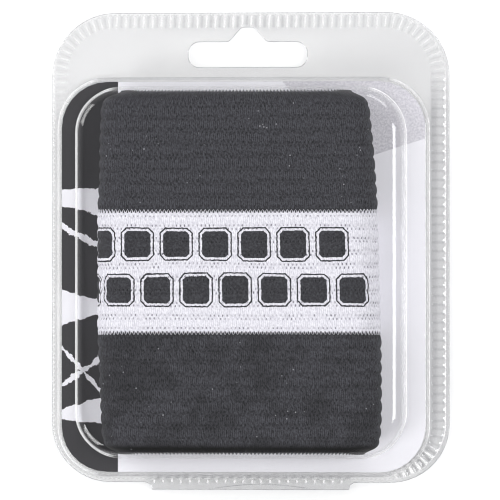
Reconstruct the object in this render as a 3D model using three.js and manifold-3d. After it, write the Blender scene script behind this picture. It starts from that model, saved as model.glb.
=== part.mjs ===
// Captain armband in its clear clamshell pack.
// The armband is a wide elastic loop, knitted in cross ribs, made of an upper, a centre and a lower band.
// It lies pressed flat on a printed card, inside the bubble of a clear front shell crimped to a flat back shell.
// Lengths are millimetres. The pack lies on its back: X runs across it, +Y to the hang slot, +Z up.

import * as THREE from "three";
import { mergeVertices } from "three/addons/utils/BufferGeometryUtils.js";
import Module from "manifold-3d";

const wasm = await Module();
wasm.setup();

// Driving dimensions of the armband
const LOOP_WIDTH = 75.6; // across the two folds, as it lies flat
const LOOP_DEPTH = 14; // front face to back face, over the ribs
const LOOP_WALL = 1.6; // knitted elastic, over a rib
const UPPER_HEIGHT = 31.4;
const CENTRE_HEIGHT = 32.2;
const LOWER_HEIGHT = 31.4;
const RIBS_PER_BAND = 9;
const RIB_RELIEF = 0.42; // rib top to groove

// Driving dimensions of the pack
const GAP = 0.3; // kept between neighbouring pieces
const SHEET = 0.5; // clear plastic sheet
const CARD_THICKNESS = 0.4;
const CARD_CLEARANCE = 0.4; // card edge to the wall of the step round it
const SIDE_ROOM = 6.1; // fold of the loop to the foot of the bubble
const BUBBLE_DRAFT = 0.7; // how far the bubble's walls lean in
const BUBBLE_CORNER = 12.3;
const BUBBLE_FILLET = 3; // rounding between the walls and the front face
const STEP_RISE = 1.7; // the shelf round the bubble, above the flange
const STEP_DRAFT = 0.4;
const STEP_CORNER = 13.2;
const SHELF_LEFT = 4.95;
const SHELF_RIGHT = 6.1;
const SHELF_TOP = 2.5;
const SHELF_BOTTOM = 4.8;
const FLANGE_LEFT = 1.65;
const FLANGE_RIGHT = 5.5;
const FLANGE_BOTTOM = 1.8;
const PACK_CORNER_TOP = 17;
const PACK_CORNER_BOTTOM = 15.7;

// Driving dimensions of the hang slot, the crimped edge and the hinge tab
const SLOT_WIDTH = 31.8;
const SLOT_HEIGHT = 6.8;
const SLOT_END_RADIUS = 3;
const SLOT_SHIFT = -0.7; // off the middle of the pack
const SLOT_LAND = 2.9; // slot to the step below it
const PEAK_RISE = 3.9; // the hook's peak above the slot
const PEAK_FOOT = 10; // its width where it meets the slot
const PEAK_TOP = 3.4; // its width at the top
const CRIMP_RIM = 0.8; // plain rim outside the teeth
const CRIMP_WIDTH = 3.4;
const CRIMP_PITCH = 2.4; // one tooth
const CRIMP_RELIEF = 0.35;
const TAB_WIDTH = 52.6;
const TAB_REACH = 2;
const TAB_RAMP = 2.5;

// Fineness of curves
const FOLD_STEPS = 9;
const FACE_STEPS = 3;
const ROWS_PER_RIB = 3;
const CORNER_STEPS = 7;
const FILLET_STEPS = 4;

// How the loop's outline departs from its full size, from the lower end (0) to the upper end (1):
// left and right are shares of the loop's width by which each fold steps in,
// dip is the share of its depth by which the front face curls down.
const LOOP_SECTIONS = [
  { up: 0, left: 0.085, right: 0.085, dip: 0.15 },
  { up: 0.012, left: 0.04, right: 0.034, dip: 0.06 },
  { up: 0.035, left: 0.017, right: 0.011, dip: 0.015 },
  { up: 0.11, left: 0.012, right: 0.001, dip: 0 },
  { up: 0.25, left: 0.005, right: 0.002, dip: 0 },
  { up: 0.34, left: 0, right: 0.0035, dip: 0 },
  { up: 0.5, left: 0, right: 0.009, dip: 0 },
  { up: 0.67, left: 0, right: 0.0147, dip: 0 },
  { up: 0.77, left: 0.007, right: 0.022, dip: 0 },
  { up: 0.85, left: 0.007, right: 0.03, dip: 0 },
  { up: 0.965, left: 0.013, right: 0.045, dip: 0.015 },
  { up: 0.988, left: 0.035, right: 0.068, dip: 0.06 },
  { up: 1, left: 0.085, right: 0.108, dip: 0.15 },
];

// Levels, from the surface that the pack lies on
const FLANGE_LEVEL = SHEET + GAP;
const CARD_LEVEL = SHEET + GAP;
const SHELF_LEVEL = FLANGE_LEVEL + Math.max(STEP_RISE, CARD_THICKNESS + GAP);
const LOOP_LEVEL = CARD_LEVEL + CARD_THICKNESS + GAP;
const FACE_LEVEL = LOOP_LEVEL + LOOP_DEPTH + GAP; // inside of the bubble's front face

// Outlines, each { left, right, bottom, top, low, high } with lower and upper corner radii, round the loop's middle
const LOOP_HEIGHT = LOWER_HEIGHT + CENTRE_HEIGHT + UPPER_HEIGHT + 2 * GAP;
const END_ROOM = SHEET + BUBBLE_DRAFT + GAP;
const FLANGE_TOP = CRIMP_RIM + CRIMP_WIDTH + PEAK_RISE + SLOT_HEIGHT + SLOT_LAND - GAP;
const bubbleFoot = {
  left: -LOOP_WIDTH / 2 - SIDE_ROOM,
  right: LOOP_WIDTH / 2 + SIDE_ROOM,
  bottom: -LOOP_HEIGHT / 2 - END_ROOM,
  top: LOOP_HEIGHT / 2 + END_ROOM,
  low: BUBBLE_CORNER,
  high: BUBBLE_CORNER,
};
const stepFoot = {
  left: bubbleFoot.left - SHELF_LEFT,
  right: bubbleFoot.right + SHELF_RIGHT,
  bottom: bubbleFoot.bottom - SHELF_BOTTOM,
  top: bubbleFoot.top + SHELF_TOP,
  low: STEP_CORNER,
  high: STEP_CORNER,
};
const packEdge = {
  left: stepFoot.left - FLANGE_LEFT,
  right: stepFoot.right + FLANGE_RIGHT,
  bottom: stepFoot.bottom - FLANGE_BOTTOM,
  top: stepFoot.top + FLANGE_TOP,
  low: PACK_CORNER_BOTTOM,
  high: PACK_CORNER_TOP,
};
const PACK_MIDDLE_X = (packEdge.left + packEdge.right) / 2;
const PACK_MIDDLE_Y = (packEdge.bottom - TAB_REACH + packEdge.top) / 2;

// The four rounded corners of an outline, anticlockwise from the lower right one
const CORNERS = [
  { x: "right", y: "bottom", radius: "low", start: -Math.PI / 2 },
  { x: "right", y: "top", radius: "high", start: 0 },
  { x: "left", y: "top", radius: "high", start: Math.PI / 2 },
  { x: "left", y: "bottom", radius: "low", start: Math.PI },
];

// Centre of one rounded corner.
function cornerCentre(box, corner) {
  const radius = box[corner.radius];
  return new THREE.Vector2(
    box[corner.x] - (corner.x === "right" ? radius : -radius),
    box[corner.y] - (corner.y === "top" ? radius : -radius),
  );
}

// Points round a box with rounded corners, moved in by inset. arcSteps and sideSteps give the number of
// stretches on an arc and on a side from its length, so that rails with other insets keep the same stations.
function outlinePoints(box, inset, arcSteps = () => CORNER_STEPS, sideSteps = () => 1) {
  const points = [];
  CORNERS.forEach((corner, index) => {
    const centre = cornerCentre(box, corner);
    const radius = Math.max(box[corner.radius] - inset, SHEET);
    const arcs = arcSteps((box[corner.radius] * Math.PI) / 2);
    for (let step = 0; step <= arcs; step++) {
      const angle = corner.start + ((Math.PI / 2) * step) / arcs;
      const spoke = new THREE.Vector2(Math.cos(angle), Math.sin(angle));
      points.push(centre.clone().addScaledVector(spoke, radius));
    }
    const next = CORNERS[(index + 1) % CORNERS.length];
    const sides = sideSteps(centre.distanceTo(cornerCentre(box, next)));
    const nextSpoke = new THREE.Vector2(Math.cos(next.start), Math.sin(next.start));
    const nextRadius = Math.max(box[next.radius] - inset, SHEET);
    const end = cornerCentre(box, next).addScaledVector(nextSpoke, nextRadius);
    const start = points[points.length - 1].clone();
    for (let step = 1; step < sides; step++) points.push(start.clone().lerp(end, step / sides));
  });
  return points;
}

// Lifts plan points to a level, which may be a function of the point's place in the row.
function ring(points, level) {
  const levelAt = typeof level === "function" ? level : () => level;
  return points.map((point, index) => new THREE.Vector3(point.x, point.y, levelAt(index)));
}

// A closed skin over rings with equal numbers of points. With closed true the last ring joins the first one,
// as round a tube's wall, and otherwise both end rings are capped by fans.
function skin(rings, closed) {
  const count = rings[0].length;
  const vertices = rings.flat();
  const faces = [];
  const bands = closed ? rings.length : rings.length - 1;
  for (let row = 0; row < bands; row++) {
    const below = row * count;
    const above = ((row + 1) % rings.length) * count;
    for (let index = 0; index < count; index++) {
      const next = (index + 1) % count;
      faces.push([below + index, below + next, above + next]);
      faces.push([below + index, above + next, above + index]);
    }
  }
  if (!closed) {
    const caps = [
      { points: rings[0], base: 0, flip: true },
      { points: rings[rings.length - 1], base: (rings.length - 1) * count, flip: false },
    ];
    for (const { points, base, flip } of caps) {
      const middle = points.reduce((sum, point) => sum.add(point), new THREE.Vector3());
      vertices.push(middle.divideScalar(count));
      const hub = vertices.length - 1;
      for (let index = 0; index < count; index++) {
        const next = (index + 1) % count;
        faces.push(flip ? [base + next, base + index, hub] : [base + index, base + next, hub]);
      }
    }
  }
  const inward = faces.reduce((sum, [a, b, c]) => {
    const cross = vertices[b].clone().cross(vertices[c]);
    return sum + vertices[a].dot(cross);
  }, 0) < 0;
  const geometry = new THREE.BufferGeometry().setFromPoints(vertices);
  geometry.setIndex(faces.flatMap(([a, b, c]) => (inward ? [a, c, b] : [a, b, c])));
  return geometry;
}

// A three.js geometry as a solid that can be joined and cut.
function solidOf(geometry) {
  const bare = geometry.clone();
  bare.deleteAttribute("normal");
  bare.deleteAttribute("uv");
  const merged = mergeVertices(bare, 1e-4);
  return new wasm.Manifold(
    new wasm.Mesh({
      numProp: 3,
      vertProperties: merged.getAttribute("position").array,
      triVerts: new Uint32Array(merged.index.array),
    }),
  );
}

// The geometry of a joined or cut solid.
function geometryOf(solid) {
  const made = solid.getMesh();
  const geometry = new THREE.BufferGeometry();
  geometry.setAttribute("position", new THREE.BufferAttribute(made.vertProperties, 3));
  geometry.setIndex(new THREE.BufferAttribute(made.triVerts, 1));
  return geometry;
}

// A flat plate between two levels, from a shape.
function plate(shape, low, high) {
  const settings = { depth: high - low, bevelEnabled: false, curveSegments: CORNER_STEPS };
  return new THREE.ExtrudeGeometry(shape, settings).translate(0, 0, low);
}

// One knitted band of the loop, between two heights

// The loop's departure from its full size at a height, read off the table.
function loopSection(height) {
  const up = THREE.MathUtils.clamp(height / LOOP_HEIGHT + 0.5, 0, 1);
  const after = Math.max(1, LOOP_SECTIONS.findIndex((section) => section.up >= up));
  const [low, high] = [LOOP_SECTIONS[after - 1], LOOP_SECTIONS[after]];
  const share = (up - low.up) / (high.up - low.up);
  const between = (column) => THREE.MathUtils.lerp(low[column], high[column], share);
  return { left: between("left"), right: between("right"), dip: between("dip") };
}

// Points round the flattened loop at a height, depth of the wall inside the rib tops.
function loopRing(height, depth) {
  const { left, right, dip } = loopSection(height);
  const thickness = LOOP_DEPTH * (1 - dip) - 2 * depth;
  const fold = thickness / 2;
  const level = LOOP_LEVEL + depth + fold;
  const leftFold = -LOOP_WIDTH * (0.5 - left) + depth + fold;
  const rightFold = LOOP_WIDTH * (0.5 - right) - depth - fold;
  const points = [];
  const addFold = (middle, start) => {
    for (let step = 0; step <= FOLD_STEPS; step++) {
      const angle = start - (Math.PI * step) / FOLD_STEPS;
      const out = fold * Math.cos(angle);
      points.push(new THREE.Vector3(middle + out, height, level + fold * Math.sin(angle)));
    }
  };
  const addFace = (from, to, side) => {
    for (let step = 1; step < FACE_STEPS; step++) {
      const across = THREE.MathUtils.lerp(from, to, step / FACE_STEPS);
      points.push(new THREE.Vector3(across, height, level + side * fold));
    }
  };
  addFold(rightFold, Math.PI / 2);
  addFace(rightFold, leftFold, -1);
  addFold(leftFold, -Math.PI / 2);
  addFace(leftFold, rightFold, 1);
  return points;
}

// Height of the ribs' face below their tops, at a share of the way over one rib.
const ribDepth = (share) => RIB_RELIEF * (1 - Math.sin(Math.PI * share));

function knittedBand(bottom, top) {
  const rows = RIBS_PER_BAND * ROWS_PER_RIB;
  const outside = [];
  for (let row = 0; row <= rows; row++) {
    const share = (row % ROWS_PER_RIB) / ROWS_PER_RIB;
    outside.push(loopRing(THREE.MathUtils.lerp(bottom, top, row / rows), ribDepth(share)));
  }
  const bends = LOOP_SECTIONS.map((section) => (section.up - 0.5) * LOOP_HEIGHT);
  const heights = [top, ...bends.filter((height) => height > bottom && height < top).reverse(), bottom];
  const inside = heights.map((height) => loopRing(height, LOOP_WALL));
  return skin([...outside, ...inside], true);
}

// The clear shells and the card

// Outline of the pack with its hinge tab, a shape.
function packShape() {
  const { left, right, bottom, top, low, high } = packEdge;
  const tab = TAB_WIDTH / 2;
  const shape = new THREE.Shape();
  shape.moveTo(PACK_MIDDLE_X - tab - TAB_RAMP, bottom);
  shape.quadraticCurveTo(PACK_MIDDLE_X - tab, bottom, PACK_MIDDLE_X - tab, bottom - TAB_REACH);
  shape.lineTo(PACK_MIDDLE_X + tab, bottom - TAB_REACH);
  shape.quadraticCurveTo(PACK_MIDDLE_X + tab, bottom, PACK_MIDDLE_X + tab + TAB_RAMP, bottom);
  shape.absarc(right - low, bottom + low, low, -Math.PI / 2, 0);
  shape.absarc(right - high, top - high, high, 0, Math.PI / 2);
  shape.absarc(left + high, top - high, high, Math.PI / 2, Math.PI);
  shape.absarc(left + low, bottom + low, low, Math.PI, Math.PI * 1.5);
  return shape;
}

// Outline of the hang slot, a straight slot with a peak in the middle for a single hook.
function slotShape() {
  const bottom = stepFoot.top + SLOT_LAND;
  const top = bottom + SLOT_HEIGHT;
  const middle = PACK_MIDDLE_X + SLOT_SHIFT;
  const half = SLOT_WIDTH / 2;
  const end = Math.min(SLOT_END_RADIUS, SLOT_HEIGHT / 2);
  const quarter = Math.PI / 2;
  const shape = new THREE.Shape();
  shape.absarc(middle + half - end, bottom + end, end, -quarter, 0);
  shape.absarc(middle + half - end, top - end, end, 0, quarter);
  shape.lineTo(middle + PEAK_FOOT / 2, top);
  shape.lineTo(middle + PEAK_TOP / 2, top + PEAK_RISE);
  shape.lineTo(middle - PEAK_TOP / 2, top + PEAK_RISE);
  shape.lineTo(middle - PEAK_FOOT / 2, top);
  shape.absarc(middle - half + end, top - end, end, quarter, Math.PI);
  shape.absarc(middle - half + end, bottom + end, end, Math.PI, Math.PI * 1.5);
  return shape;
}

// The crimp teeth along the edge of the flange: radial ridges with grooves between them.
function crimpTeeth() {
  const stretches = (length) => 2 * Math.max(1, Math.round(length / CRIMP_PITCH));
  const rail = (inset) => outlinePoints(packEdge, inset, stretches, stretches);
  const outer = rail(CRIMP_RIM);
  const inner = rail(CRIMP_RIM + CRIMP_WIDTH);
  const root = FLANGE_LEVEL + SHEET / 2;
  const face = FLANGE_LEVEL + SHEET;
  const tooth = (index) => face + (index % 2 ? CRIMP_RELIEF : 0) + CRIMP_RELIEF / 10;
  return skin([ring(outer, root), ring(outer, tooth), ring(inner, tooth), ring(inner, root)], true);
}

// The moulded part of the front shell: step, shelf, drafted walls, rounding and front face, one wall thick.
function moulding() {
  const half = (side) => {
    const wall = side * SHEET;
    const rings = [];
    const foot = FLANGE_LEVEL + (side ? 0 : SHEET / 2);
    rings.push(ring(outlinePoints(stepFoot, wall), foot));
    rings.push(ring(outlinePoints(stepFoot, STEP_DRAFT + wall), SHELF_LEVEL + SHEET - wall));
    rings.push(ring(outlinePoints(bubbleFoot, wall), SHELF_LEVEL + SHEET - wall));
    const radius = BUBBLE_FILLET - wall;
    const turn = FACE_LEVEL + SHEET - BUBBLE_FILLET;
    for (let step = 0; step <= FILLET_STEPS; step++) {
      const angle = ((Math.PI / 2) * step) / FILLET_STEPS;
      const inset = BUBBLE_DRAFT + BUBBLE_FILLET - radius * Math.cos(angle);
      rings.push(ring(outlinePoints(bubbleFoot, inset), turn + radius * Math.sin(angle)));
    }
    return rings;
  };
  const outside = half(0);
  const inside = half(1);
  return skin([...outside.reverse(), ...inside], false);
}

function frontShell() {
  const over = FACE_LEVEL + SHEET;
  const stepHole = new THREE.Shape(outlinePoints(stepFoot, SHEET / 2));
  const flange = plate(packShape(), FLANGE_LEVEL, FLANGE_LEVEL + SHEET);
  return solidOf(flange)
    .add(solidOf(crimpTeeth()))
    .subtract(solidOf(plate(slotShape(), 0, over)))
    .subtract(solidOf(plate(stepHole, 0, over)))
    .add(solidOf(moulding()));
}

function backShell() {
  const shape = packShape();
  shape.holes.push(slotShape());
  return plate(shape, 0, SHEET);
}

function insertCard() {
  const shape = new THREE.Shape(outlinePoints(stepFoot, SHEET + CARD_CLEARANCE));
  return plate(shape, CARD_LEVEL, CARD_LEVEL + CARD_THICKNESS);
}

// Materials
const blackElastic = { color: 0x424246, roughness: 0.95, metalness: 0 };
const whiteElastic = { color: 0xeeecf3, roughness: 0.95, metalness: 0 };
const printedBoard = { color: 0xe4e3ea, roughness: 0.6, metalness: 0 };
const clearSheet = { color: 0xf4f5f6, roughness: 0.08, metalness: 0, transparent: true, opacity: 0.25 };

// The assembly, with the middle of the pack's back at the origin
const assembly = new THREE.Group();
assembly.position.set(-PACK_MIDDLE_X, -PACK_MIDDLE_Y, 0);

function place(name, geometry, look) {
  const mesh = new THREE.Mesh(geometry, new THREE.MeshStandardMaterial(look));
  mesh.name = name;
  assembly.add(mesh);
}

const lowerTop = -LOOP_HEIGHT / 2 + LOWER_HEIGHT;
const centreTop = lowerTop + GAP + CENTRE_HEIGHT;
place("lower_band", knittedBand(-LOOP_HEIGHT / 2, lowerTop), blackElastic);
place("centre_band", knittedBand(lowerTop + GAP, centreTop), whiteElastic);
place("upper_band", knittedBand(centreTop + GAP, LOOP_HEIGHT / 2), blackElastic);
place("insert_card", insertCard(), printedBoard);
place("front_shell", geometryOf(frontShell()), clearSheet);
place("back_shell", backShell(), clearSheet);

export default assembly;
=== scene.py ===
"""Looks of the captain armband in its clear clamshell pack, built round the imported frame.

The pack lies on its back: X runs across it, +Y to the hang slot, +Z up. Lengths are millimetres
until a mesh is made, and metres from there.
"""

import math

import bpy
import numpy as np
from mathutils import Matrix, Vector
from mathutils.geometry import delaunay_2d_cdt


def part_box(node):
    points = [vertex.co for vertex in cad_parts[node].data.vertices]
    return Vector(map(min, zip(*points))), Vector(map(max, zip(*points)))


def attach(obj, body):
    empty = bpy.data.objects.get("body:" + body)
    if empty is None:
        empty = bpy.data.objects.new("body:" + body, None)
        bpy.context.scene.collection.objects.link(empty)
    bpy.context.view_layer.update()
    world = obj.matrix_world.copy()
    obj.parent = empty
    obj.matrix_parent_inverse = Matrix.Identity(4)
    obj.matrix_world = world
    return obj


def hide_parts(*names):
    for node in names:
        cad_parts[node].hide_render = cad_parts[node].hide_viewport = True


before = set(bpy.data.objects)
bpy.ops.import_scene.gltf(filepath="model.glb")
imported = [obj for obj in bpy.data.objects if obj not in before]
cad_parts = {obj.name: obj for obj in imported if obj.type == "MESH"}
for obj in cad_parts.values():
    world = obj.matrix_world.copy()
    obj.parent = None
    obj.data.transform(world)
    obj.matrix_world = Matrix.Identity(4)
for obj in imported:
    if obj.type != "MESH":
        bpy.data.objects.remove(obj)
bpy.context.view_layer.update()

MM = 0.001
BODY = "root"
scene = bpy.context.scene


def box_mm(node):
    """Lowest and highest corner of a CAD node, in millimetres."""
    low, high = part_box(node)
    return np.array(low) / MM, np.array(high) / MM


# Sizes of the pack, from the frame and from the sheet's own thickness
SHEET = 0.5
CARD_CLEARANCE = 0.4
TAB_REACH = 2.0
TAB_WIDTH = 52.6
TAB_RAMP = 2.5
STEP_HEIGHT = 1.7
STEP_CORNER = 13.2
BUBBLE_CORNER = 12.3
PACK_CORNER_TOP = 17.0
PACK_CORNER_BOTTOM = 15.7
SHELF = {"left": 4.95, "right": 6.1, "top": 2.5, "bottom": 4.8}
STEP_DRAFT = 0.4
BUBBLE_DRAFT = 0.7
BUBBLE_FILLET = 3.0
STEP_FILLET = 0.6
FOOT_FILLET = 0.35
SLOT_WIDTH = 31.8
SLOT_HEIGHT = 6.8
SLOT_END_RADIUS = 3.0
SLOT_SHIFT = -0.7
SLOT_LAND = 2.9
PEAK_RISE = 3.9
PEAK_FOOT = 10.0
PEAK_TOP = 3.4
CRIMP_PITCH = 2.4
CRIMP_RELIEF = 0.35
BACK_RELIEF_SHARE = 0.5
# How far the crimp's outer and inner ends lie inside the pack's edge
CRIMP_OUTER = {"left": 0.5, "right": 1.1, "bottom": 0.9, "top": 0.6}
CRIMP_INNER = {"left": 3.9, "right": 4.9, "bottom": 4.4, "top": 4.1}

pack_low, pack_high = box_mm("back_shell")
shell_low, shell_high = box_mm("front_shell")
card_low, card_high = box_mm("insert_card")
FLANGE_TOP = shell_low[2] + SHEET
SHELF_TOP = FLANGE_TOP + STEP_HEIGHT
FACE_TOP = shell_high[2]

# Sizes of the knitted loop
LOOP_WALL = 1.6
RIBS = 9
RIB_RELIEF = 0.42  # on the folds; the taut faces are flatter
FACE_RELIEF = 0.2
RELIEF_FADE = (-4, 3)  # columns into the face over which the relief falls
FACE_COLUMNS = 56
FOLD_COLUMNS = 20
COLUMNS = 2 * (FACE_COLUMNS + FOLD_COLUMNS)
FRONT_MIDDLE = FACE_COLUMNS + FOLD_COLUMNS  # column number in the middle of the front face
CROWN_ROUNDING = 0.8
YARN_RELIEF = 0.035
PIT_DEPTH = 0.2
PIT_SIZE = (0.075, 0.16)  # of a rib and of a column
PAIR_OFFSET = 0.135  # of a rib: a groove to each of its two rows of stitch holes
BORDER_TOOTH = 0.46
SELVAGE_TOOTH = 0.34
TOOTH_REACH = 0.45  # of a rib
CENTRE_LIP, OUTER_LIP = 0.26, 0.1  # of a rib, beyond a band's first and last groove

centre_low, centre_high = box_mm("centre_band")
LOOP_BOTTOM = box_mm("lower_band")[0][1]
LOOP_TOP = box_mm("upper_band")[1][1]
LOOP_WIDTH = 75.6
LOOP_DEPTH = 14.0
LOOP_MIDDLE_X = -2.5
LOOP_LEVEL = card_high[2] + 0.3

# The loop's outline from its lower end (0) to its upper end (1): shares of its width by which
# each fold steps in, and of its depth by which the front face curls down
LOOP_SECTIONS = np.array([
    (0, 0.075, 0.064, 0.15),
    (0.005, 0.052, 0.04, 0.1),
    (0.012, 0.038, 0.024, 0.06),
    (0.022, 0.026, 0.013, 0.035),
    (0.04, 0.017, 0.006, 0.015),
    (0.11, 0.012, 0.001, 0),
    (0.25, 0.005, 0.002, 0),
    (0.34, 0, 0.0035, 0),
    (0.5, 0, 0.009, 0),
    (0.67, 0, 0.0147, 0),
    (0.77, 0.007, 0.022, 0),
    (0.85, 0.007, 0.03, 0),
    (0.965, 0.013, 0.045, 0.015),
    (0.988, 0.035, 0.068, 0.06),
    (1, 0.085, 0.108, 0.15),
])
SECTION_BLUR = (-0.006, 0, 0.006)


# Outlines of the pack

SMALLEST_RADIUS = 0.05


class Outline:
    """A rounded box, whose points run anticlockwise from its lower right corner."""

    def __init__(self, left, right, bottom, top, low, high):
        self.centres = [
            (right - low, bottom + low, low, -90),
            (right - high, top - high, high, 0),
            (left + high, top - high, high, 90),
            (left + low, bottom + low, low, 180),
        ]

    def stretches(self, pitch):
        """Whole numbers of pitches on each corner and on each side."""
        arcs = [max(1, round(radius * math.pi / 2 / pitch)) for _, _, radius, _ in self.centres]
        sides = []
        for index, (x, y, _, _) in enumerate(self.centres):
            next_x, next_y, _, _ = self.centres[(index + 1) % 4]
            sides.append(max(1, round(math.hypot(next_x - x, next_y - y) / pitch)))
        return arcs, sides

    def points(self, inset, arcs, sides):
        """Points moved in by inset, with the given numbers of stretches on each corner and side."""
        corners = []
        for (x, y, radius, start), steps in zip(self.centres, arcs):
            angles = np.radians(start + 90 * np.arange(steps + 1) / steps)
            reach = max(radius - inset, SMALLEST_RADIUS)
            corners.append(np.array([x, y]) + reach * np.stack([np.cos(angles), np.sin(angles)], 1))
        rows = []
        for index, corner in enumerate(corners):
            rows.append(corner)
            share = np.arange(1, sides[index])[:, None] / sides[index]
            rows.append(corner[-1] + (corners[(index + 1) % 4][0] - corner[-1]) * share)
        return np.concatenate(rows)


def inner_outline(sides, insets, low, high):
    """A rounded box inside four sides by a different length on each, with its corners' radii."""
    left, right = sides["left"] + insets["left"], sides["right"] - insets["right"]
    bottom, top = sides["bottom"] + insets["bottom"], sides["top"] - insets["top"]
    return Outline(left, right, bottom, top, low, high)


CARD_MARGIN = SHEET + CARD_CLEARANCE
PACK_BOTTOM = pack_low[1] + TAB_REACH
pack_sides = {"left": pack_low[0], "right": pack_high[0], "bottom": PACK_BOTTOM, "top": pack_high[1]}
step_sides = {
    "left": card_low[0] - CARD_MARGIN,
    "right": card_high[0] + CARD_MARGIN,
    "bottom": card_low[1] - CARD_MARGIN,
    "top": card_high[1] + CARD_MARGIN,
}
step_foot = Outline(**step_sides, low=STEP_CORNER, high=STEP_CORNER)
bubble_foot = inner_outline(step_sides, SHELF, BUBBLE_CORNER, BUBBLE_CORNER)
pack_edge = Outline(**pack_sides, low=PACK_CORNER_BOTTOM, high=PACK_CORNER_TOP)
crimp_ends = []
for insets in (CRIMP_OUTER, CRIMP_INNER):
    low, high = (radius - sum(insets.values()) / 4 for radius in (PACK_CORNER_BOTTOM, PACK_CORNER_TOP))
    crimp_ends.append(inner_outline(pack_sides, insets, low, high))
MOULD = ([24] * 4, [16] * 4)  # stretches on the corners and on the sides of each ring
POINTS_PER_TOOTH = 8
TEETH = [[POINTS_PER_TOOTH * steps for steps in runs] for runs in pack_edge.stretches(CRIMP_PITCH)]
EDGE_PITCH = 0.6
SLOT_PITCH = 0.35
SLOT_EASINGS = 6
RAMP_POINTS = 7
TAB_POINTS = 58


def spaced(loop, pitch):
    """A closed loop with points added so that none are further apart than pitch."""
    rows = []
    for start, end in zip(loop, np.roll(loop, -1, axis=0)):
        steps = max(1, math.ceil(math.dist(start, end) / pitch))
        rows.append(start + (end - start) * np.arange(steps)[:, None] / steps)
    return np.concatenate(rows)


def arc(x, y, radius, start, end, steps=10):
    """Points on an arc between two angles in degrees."""
    angles = np.radians(np.linspace(start, end, steps + 1))
    return np.array([x, y]) + radius * np.stack([np.cos(angles), np.sin(angles)], 1)


def slot_loop():
    """The hang slot with its hook's peak, whose corners are eased."""
    bottom = step_sides["top"] + SLOT_LAND
    top = bottom + SLOT_HEIGHT
    middle = (pack_low[0] + pack_high[0]) / 2 + SLOT_SHIFT
    half, end = SLOT_WIDTH / 2, SLOT_END_RADIUS
    foot, peak = PEAK_FOOT / 2, PEAK_TOP / 2
    loop = spaced(np.concatenate([
        arc(middle + half - end, bottom + end, end, -90, 0),
        arc(middle + half - end, top - end, end, 0, 90),
        [(middle + foot, top), (middle + peak, top + PEAK_RISE)],
        [(middle - peak, top + PEAK_RISE), (middle - foot, top)],
        arc(middle - half + end, top - end, end, 90, 180),
        arc(middle - half + end, bottom + end, end, 180, 270),
    ]), SLOT_PITCH)
    for _ in range(SLOT_EASINGS):
        loop = (np.roll(loop, 1, axis=0) + 2 * loop + np.roll(loop, -1, axis=0)) / 4
    return loop


def pack_loop(points):
    """The pack's edge with the hinge tab put in the middle of its lower side."""
    half = TAB_WIDTH / 2
    low = points[:, 1] < PACK_BOTTOM + 1e-6
    off_tab = ~(low & (np.abs(points[:, 0]) < half + TAB_RAMP))
    share = np.linspace(0, 1, RAMP_POINTS)
    ramp_x = half + TAB_RAMP * (1 - share) ** 2
    ramp_y = PACK_BOTTOM - TAB_REACH * share ** 2
    left_ramp = np.stack([-ramp_x, ramp_y], 1)
    right_ramp = np.stack([ramp_x, ramp_y], 1)[::-1]
    across = np.linspace(-half, half, TAB_POINTS + 2)[1:-1]
    middle = np.stack([across, np.full(TAB_POINTS, PACK_BOTTOM - TAB_REACH)], 1)
    tab = np.concatenate([left_ramp, middle, right_ramp])
    first = np.flatnonzero(~off_tab)[0]
    return np.concatenate([points[:first], tab, points[first:][off_tab[first:]]])


def inside(points, loop):
    """Which points lie inside a closed loop."""
    x, y = points[:, 0][:, None], points[:, 1][:, None]
    x0, y0 = loop[:, 0][None], loop[:, 1][None]
    x1, y1 = np.roll(loop[:, 0], -1)[None], np.roll(loop[:, 1], -1)[None]
    spans = (y0 > y) != (y1 > y)
    with np.errstate(divide="ignore", invalid="ignore"):
        crossing = x0 + (y - y0) * (x1 - x0) / (y1 - y0)
    return (np.count_nonzero(spans & (x < crossing), axis=1) % 2) == 1


def distance_to(points, loop):
    """Distance from each point to the nearest corner of a densely drawn loop."""
    gaps = points[:, None, :] - loop[None]
    return np.sqrt((gaps ** 2).sum(2)).min(1)


def outward(loop):
    """Unit normals that point out of a closed loop that runs anticlockwise."""
    along = np.roll(loop, -1, axis=0) - np.roll(loop, 1, axis=0)
    along = along / np.linalg.norm(along, axis=1)[:, None]
    return np.stack([along[:, 1], -along[:, 0]], 1)


def passage(values, low, high):
    """0 below low, 1 above high, and a smooth passage between them."""
    share = np.clip((values - low) / (high - low), 0, 1)
    return share * share * (3 - 2 * share)


# Meshes

def make_object(name, vertices, faces, attributes=None, uvs=None):
    """A smooth mesh object from millimetre vertices, with point attributes and corner coordinates."""
    mesh = bpy.data.meshes.new(name)
    corners = (np.asarray(vertices) * MM).tolist()
    mesh.from_pydata(corners, [], [tuple(map(int, face)) for face in faces])
    for key, values in (attributes or {}).items():
        layer = mesh.attributes.new(key, "FLOAT", "POINT")
        layer.data.foreach_set("value", np.asarray(values, np.float32))
    if uvs is not None:
        layer = mesh.uv_layers.new(name="knit")
        layer.data.foreach_set("uv", np.asarray(uvs, np.float32).ravel())
    mesh.validate()
    mesh.shade_smooth()
    piece = bpy.data.objects.new(name, mesh)
    scene.collection.objects.link(piece)
    return piece


def ring_faces(rows, count, first=0, flip=False):
    """Quads between neighbouring rings of count points, rings numbered one after another."""
    index = np.arange(count)
    after = (index + 1) % count
    faces = []
    for row in range(rows - 1):
        below = first + row * count
        above = below + count
        quads = np.stack([below + index, below + after, above + after, above + index], 1)
        faces.append(quads[:, ::-1] if flip else quads)
    return np.concatenate(faces)


# The crimped flange of a shell

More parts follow.
